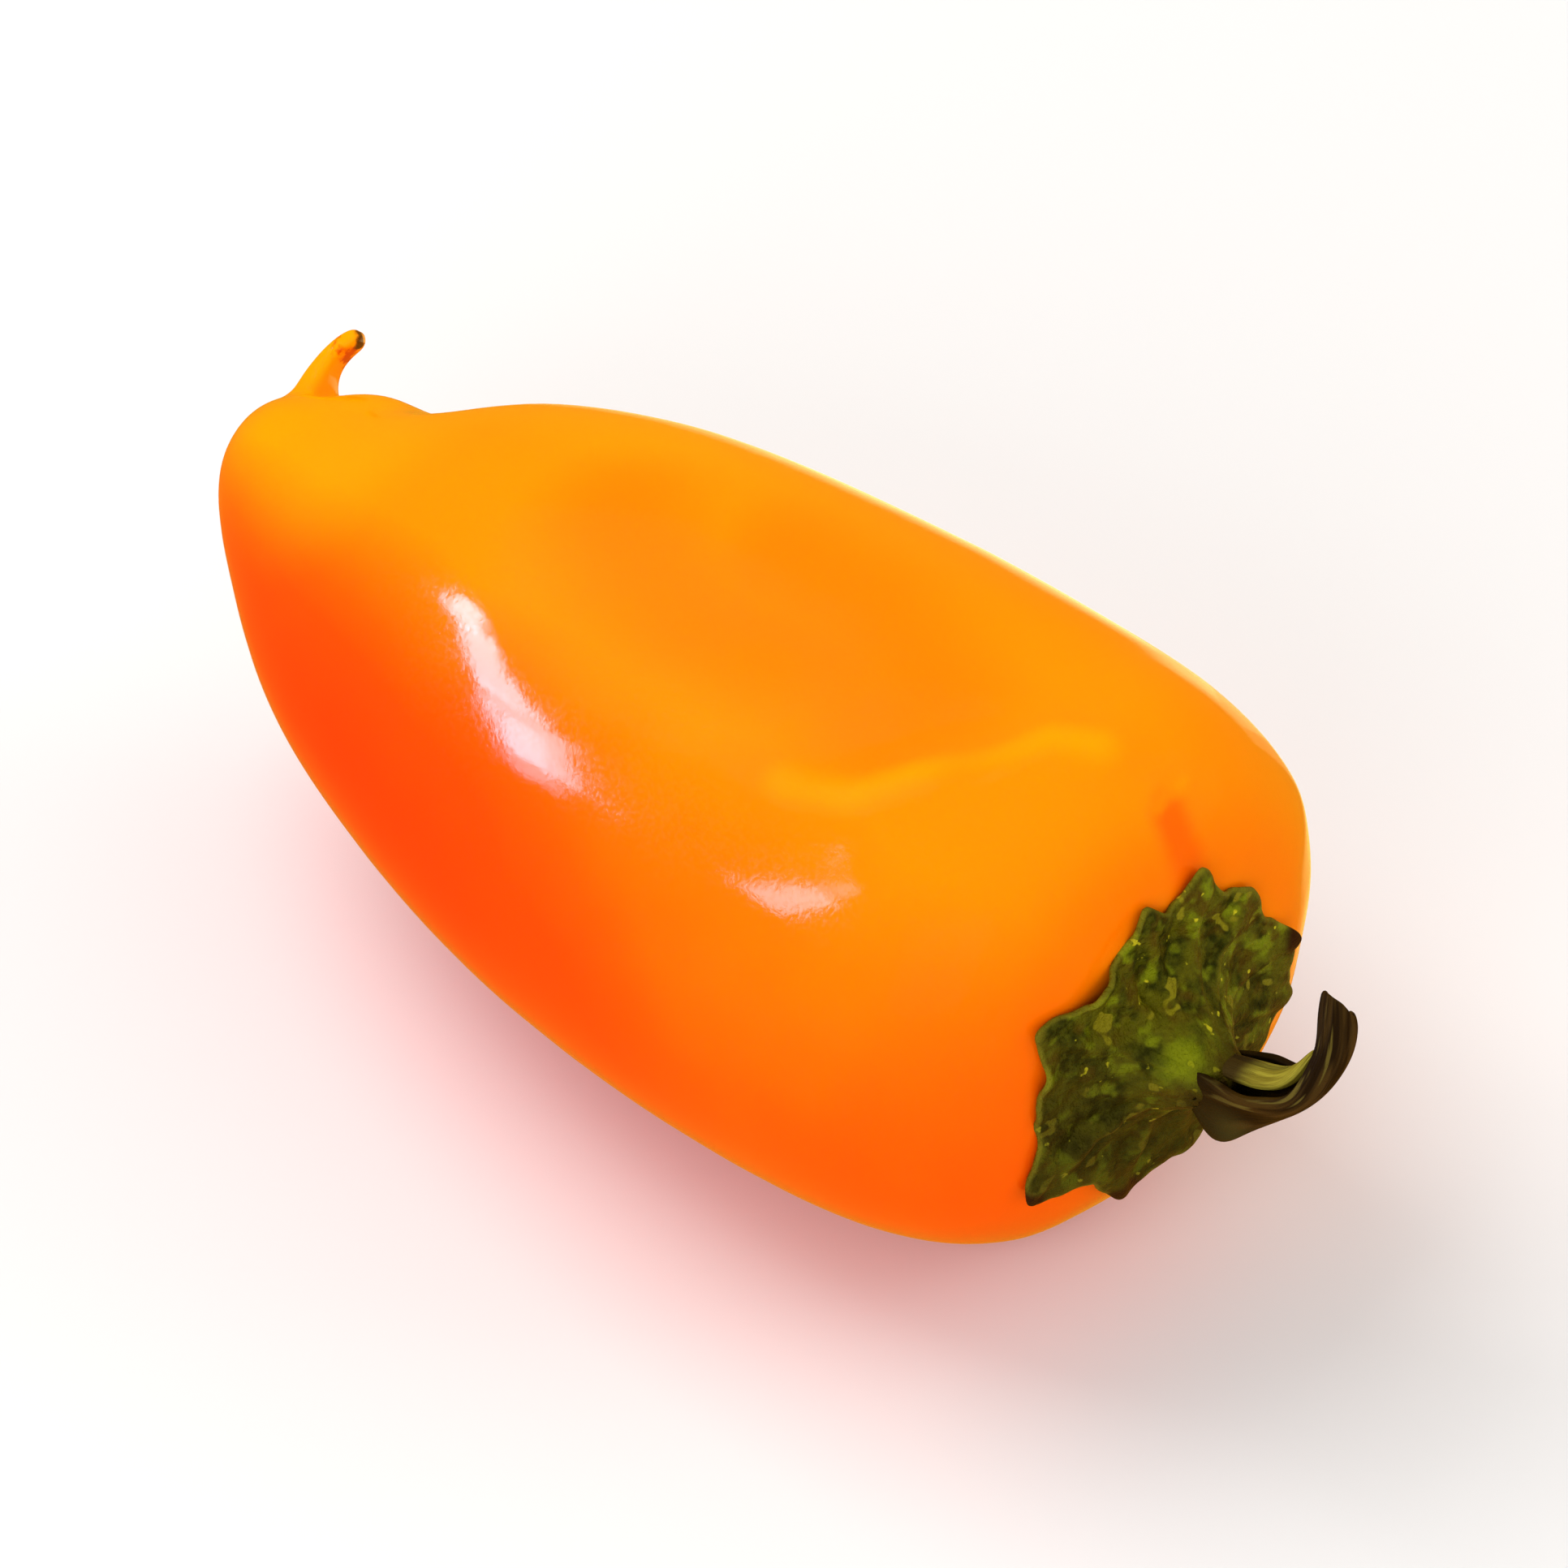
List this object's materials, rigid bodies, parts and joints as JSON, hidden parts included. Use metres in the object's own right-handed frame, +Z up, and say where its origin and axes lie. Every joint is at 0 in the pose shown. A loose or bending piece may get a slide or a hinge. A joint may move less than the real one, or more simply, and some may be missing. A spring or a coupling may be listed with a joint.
{
  "type": "mini sweet pepper",
  "caption": "Orange mini sweet pepper, picked, lying on its side, with a small beak at its tip, a toothed green calyx and a dried, hooked stem.",
  "frame": {"origin": "on the small flat spot that the pepper rests on, below its middle line and about under its centre of mass", "axes": "+X along the pepper from its tip to its stem, +Z up, with the pepper lying on its side"},
  "size_m": [0.0963, 0.0427, 0.0413],
  "materials": {
    "skin": "glossy waxy orange skin",
    "calyx": "leathery dark green, with a soft sheen",
    "stem": "dried bark and pith, matt"
  },
  "bodies": {
    "root": {"fruit": "skin", "calyx": "calyx", "stem": "stem"}
  },
  "joints": []
}
